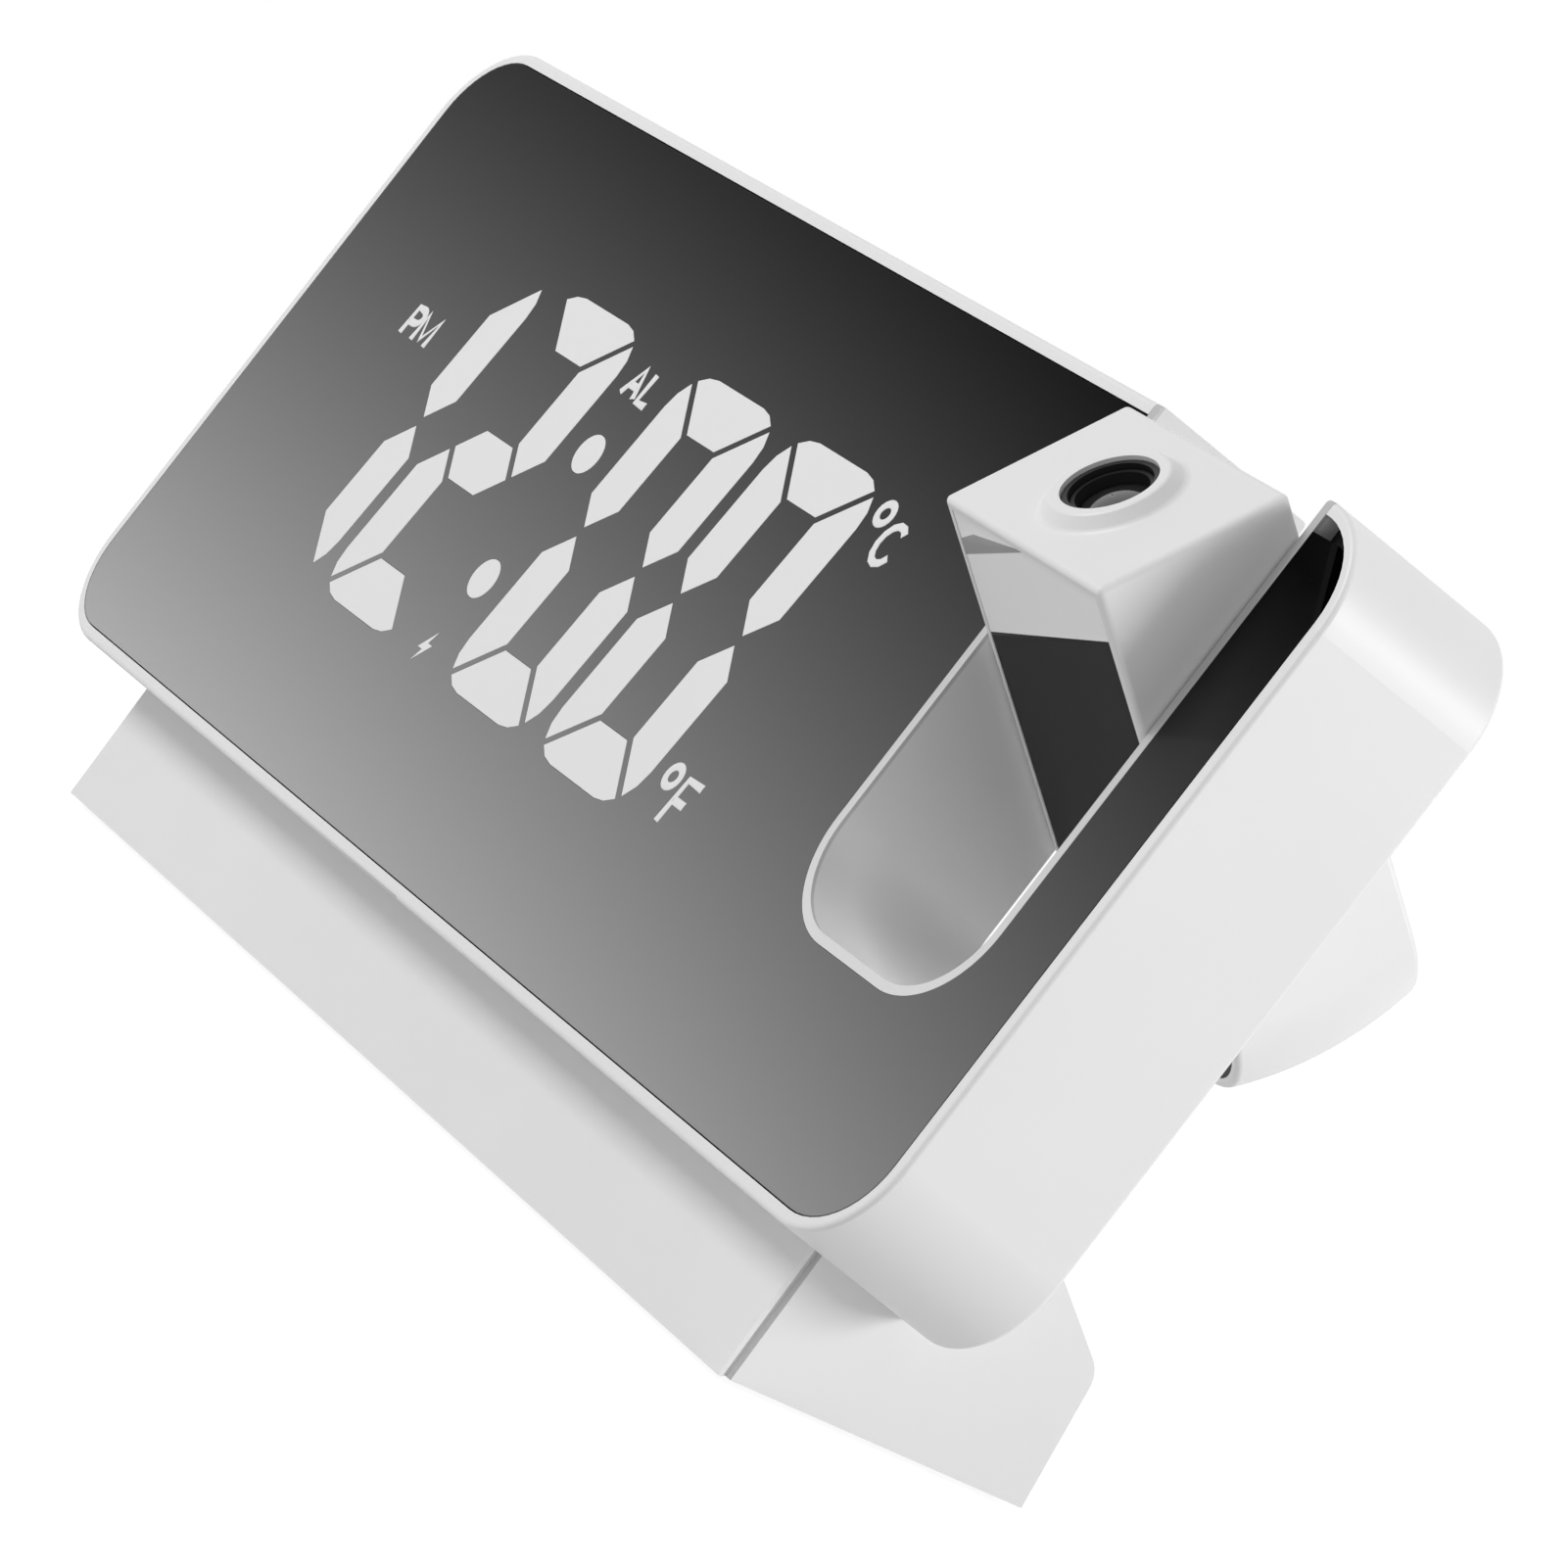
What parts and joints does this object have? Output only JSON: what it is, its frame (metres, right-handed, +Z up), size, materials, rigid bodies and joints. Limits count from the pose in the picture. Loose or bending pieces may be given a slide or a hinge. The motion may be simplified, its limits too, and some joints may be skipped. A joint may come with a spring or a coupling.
{
  "type": "projection alarm clock",
  "caption": "Leaning digital alarm clock with a mirrored display in a white sleeve on a wedge base, and a projector arm that turns in a slot beside the display.",
  "frame": {"origin": "on the table, in the middle of the front foot strip's underside", "axes": "+X to the viewer's right along the display, +Y towards the rear, +Z up"},
  "size_m": [0.187, 0.0534, 0.0912],
  "materials": {
    "white_shell": "fine satin",
    "mirror_glass": "half-silvered, dark behind",
    "lit_segment": "white, lit from behind",
    "light_guide": "clear",
    "black_plastic": "matte black",
    "black_foam": "foam",
    "rubber": "soft grey",
    "board": "lacquered laminate",
    "steel": "zinc plated",
    "optical_glass": "coated",
    "chip_body": "moulded epoxy",
    "lamp": "phosphor",
    "cell_steel": "stamped",
    "button_plastic": "satin"
  },
  "bodies": {
    "case": {"front_housing": "white_shell", "arm_recess_frame": "white_shell", "rear_cover": "white_shell", "base_shell": "white_shell", "base_front_cover": "white_shell", "base_plate": "white_shell", "battery_door": "white_shell", "mirror_panel": "mirror_glass", "lit_numerals": "lit_segment", "segment_light_guides": "light_guide", "panel_gasket": "black_foam", "display_mask": "black_plastic", "display_leds": "lamp", "display_board": "board", "main_board": "board", "board_spacers": "steel", "board_screws": "steel", "processor_chip": "chip_body", "quartz_crystal": "steel", "capacitors": "black_plastic", "wire_header": "button_plastic", "alarm_buzzer": "black_plastic", "tact_switches": "black_plastic", "snooze_switch": "black_plastic", "power_socket_shell": "steel", "power_socket_tongue": "black_plastic", "rear_cover_screws": "steel", "case_to_base_screws": "steel", "base_plate_screws": "steel", "rubber_feet": "rubber", "cell_holder": "black_plastic", "coin_cell": "cell_steel", "cell_contacts": "steel", "battery_door_screw": "steel"},
    "arm": {"arm_housing": "white_shell", "arm_mirror": "mirror_glass", "right_pivot": "black_plastic", "left_pivot": "black_plastic", "friction_washers": "rubber", "projector_tube": "black_plastic", "image_plate": "optical_glass", "condenser_lens": "optical_glass", "projector_led_board": "board", "projector_led": "lamp"},
    "focus_ring": {"focus_ring": "black_plastic"},
    "lens_cell": {"lens_cell": "black_plastic", "projection_lenses": "optical_glass"},
    "snooze_bar": {"snooze_bar": "white_shell"},
    "mode_button": {"mode_button": "button_plastic"},
    "alarm_button": {"alarm_button": "button_plastic"},
    "up_button": {"up_button": "button_plastic"},
    "down_button": {"down_button": "button_plastic"},
    "projection_button": {"projection_button": "button_plastic"}
  },
  "joints": [
    {"name": "arm_swing", "type": "hinge", "parent": "case", "child": "arm", "pos_m": [0.0676, 0.00925, 0.06986], "axis": [1, 0, 0], "range_deg": [-151, 29]},
    {"name": "focus_turn", "type": "hinge", "parent": "arm", "child": "focus_ring", "pos_m": [0.0676, -0.00474, 0.08119], "axis": [0, -0.7771, 0.6293], "range_deg": [-60, 60]},
    {"name": "lens_travel", "type": "slide", "parent": "arm", "child": "lens_cell", "axis": [0, -0.7771, 0.6293], "range_m": [-0.0005, 0.0005]},
    {"name": "snooze_press", "type": "slide", "parent": "case", "child": "snooze_bar", "axis": [0, -0.1736, -0.9848], "range_m": [0, 0.0003], "stiffness_N_per_m": 2500, "springref_m": -0.0002},
    {"name": "mode_press", "type": "slide", "parent": "case", "child": "mode_button", "axis": [0, -0.9848, 0.1736], "range_m": [0, 0.0003], "stiffness_N_per_m": 2500, "springref_m": -0.0002},
    {"name": "alarm_press", "type": "slide", "parent": "case", "child": "alarm_button", "axis": [0, -0.9848, 0.1736], "range_m": [0, 0.0003], "stiffness_N_per_m": 2500, "springref_m": -0.0002},
    {"name": "up_press", "type": "slide", "parent": "case", "child": "up_button", "axis": [0, -0.9848, 0.1736], "range_m": [0, 0.0003], "stiffness_N_per_m": 2500, "springref_m": -0.0002},
    {"name": "down_press", "type": "slide", "parent": "case", "child": "down_button", "axis": [0, -0.9848, 0.1736], "range_m": [0, 0.0003], "stiffness_N_per_m": 2500, "springref_m": -0.0002},
    {"name": "projection_press", "type": "slide", "parent": "case", "child": "projection_button", "axis": [0, -0.9848, 0.1736], "range_m": [0, 0.0003], "stiffness_N_per_m": 2500, "springref_m": -0.0002}
  ],
  "couplings": [
    {"joint": "focus_turn", "follows": "lens_travel", "rad_per_m": 2094}
  ]
}
